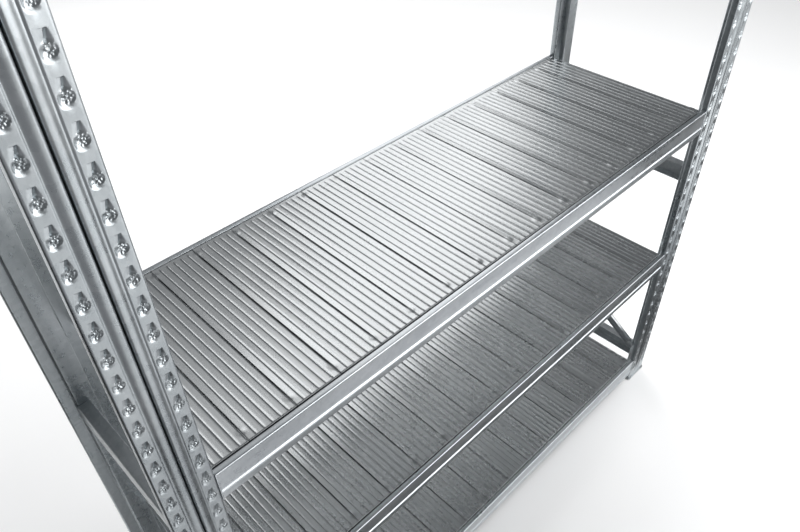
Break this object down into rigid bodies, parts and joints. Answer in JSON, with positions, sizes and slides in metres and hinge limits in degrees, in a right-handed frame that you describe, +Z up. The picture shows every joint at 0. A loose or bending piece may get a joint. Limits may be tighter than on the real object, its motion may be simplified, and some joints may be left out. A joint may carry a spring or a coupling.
{
  "type": "boltless shelving bay",
  "caption": "Galvanised boltless shelving bay: pocketed uprights, hooked beams and lift-off ribbed steel deck panels in a braced frame.",
  "frame": {"origin": "centre of the footprint at floor level", "axes": "+X along the shelf, +Y to the back, +Z up"},
  "size_m": [1.902, 0.572, 2.2],
  "materials": {
    "upright_steel": "galvanised",
    "beam_steel": "galvanised",
    "panel_steel": "galvanised, fine grain",
    "brace_steel": "galvanised",
    "foot_steel": "galvanised"
  },
  "bodies": {
    "frame": {"beam_bottom_front": "beam_steel", "beam_bottom_rear": "beam_steel", "beam_middle_front": "beam_steel", "beam_middle_rear": "beam_steel", "beam_top_front": "beam_steel", "beam_top_rear": "beam_steel", "brace_lower_left": "brace_steel", "brace_lower_right": "brace_steel", "foot_front_left": "foot_steel", "foot_front_right": "foot_steel", "foot_rear_left": "foot_steel", "foot_rear_right": "foot_steel", "strut_low_left": "brace_steel", "strut_low_right": "brace_steel", "strut_middle_left": "brace_steel", "strut_middle_right": "brace_steel", "strut_top_left": "brace_steel", "strut_top_right": "brace_steel", "upright_front_left": "upright_steel", "upright_front_right": "upright_steel", "upright_rear_left": "upright_steel", "upright_rear_right": "upright_steel"},
    "deck_top": {"deck_panel_top_01": "panel_steel", "deck_panel_top_02": "panel_steel", "deck_panel_top_03": "panel_steel", "deck_panel_top_04": "panel_steel", "deck_panel_top_05": "panel_steel", "deck_panel_top_06": "panel_steel", "deck_panel_top_07": "panel_steel", "deck_panel_top_08": "panel_steel", "deck_panel_top_09": "panel_steel", "deck_panel_top_10": "panel_steel", "deck_panel_top_11": "panel_steel", "deck_panel_top_12": "panel_steel", "deck_panel_top_13": "panel_steel", "deck_panel_top_14": "panel_steel", "deck_panel_top_15": "panel_steel", "deck_panel_top_16": "panel_steel"},
    "deck_middle": {"deck_pair_middle_01": "panel_steel", "deck_pair_middle_02": "panel_steel", "deck_pair_middle_03": "panel_steel", "deck_pair_middle_04": "panel_steel", "deck_pair_middle_05": "panel_steel", "deck_pair_middle_06": "panel_steel", "deck_pair_middle_07": "panel_steel", "deck_pair_middle_08": "panel_steel"},
    "deck_bottom": {"deck_pair_bottom_01": "panel_steel", "deck_pair_bottom_02": "panel_steel", "deck_pair_bottom_03": "panel_steel", "deck_pair_bottom_04": "panel_steel", "deck_pair_bottom_05": "panel_steel", "deck_pair_bottom_06": "panel_steel", "deck_pair_bottom_07": "panel_steel", "deck_pair_bottom_08": "panel_steel"}
  },
  "joints": [
    {"name": "deck_top_lift", "type": "slide", "parent": "frame", "child": "deck_top", "axis": [0, 0, 1], "range_m": [0, 0.25]},
    {"name": "deck_middle_lift", "type": "slide", "parent": "frame", "child": "deck_middle", "axis": [0, 0, 1], "range_m": [0, 0.25]},
    {"name": "deck_bottom_lift", "type": "slide", "parent": "frame", "child": "deck_bottom", "axis": [0, 0, 1], "range_m": [0, 0.25]}
  ]
}
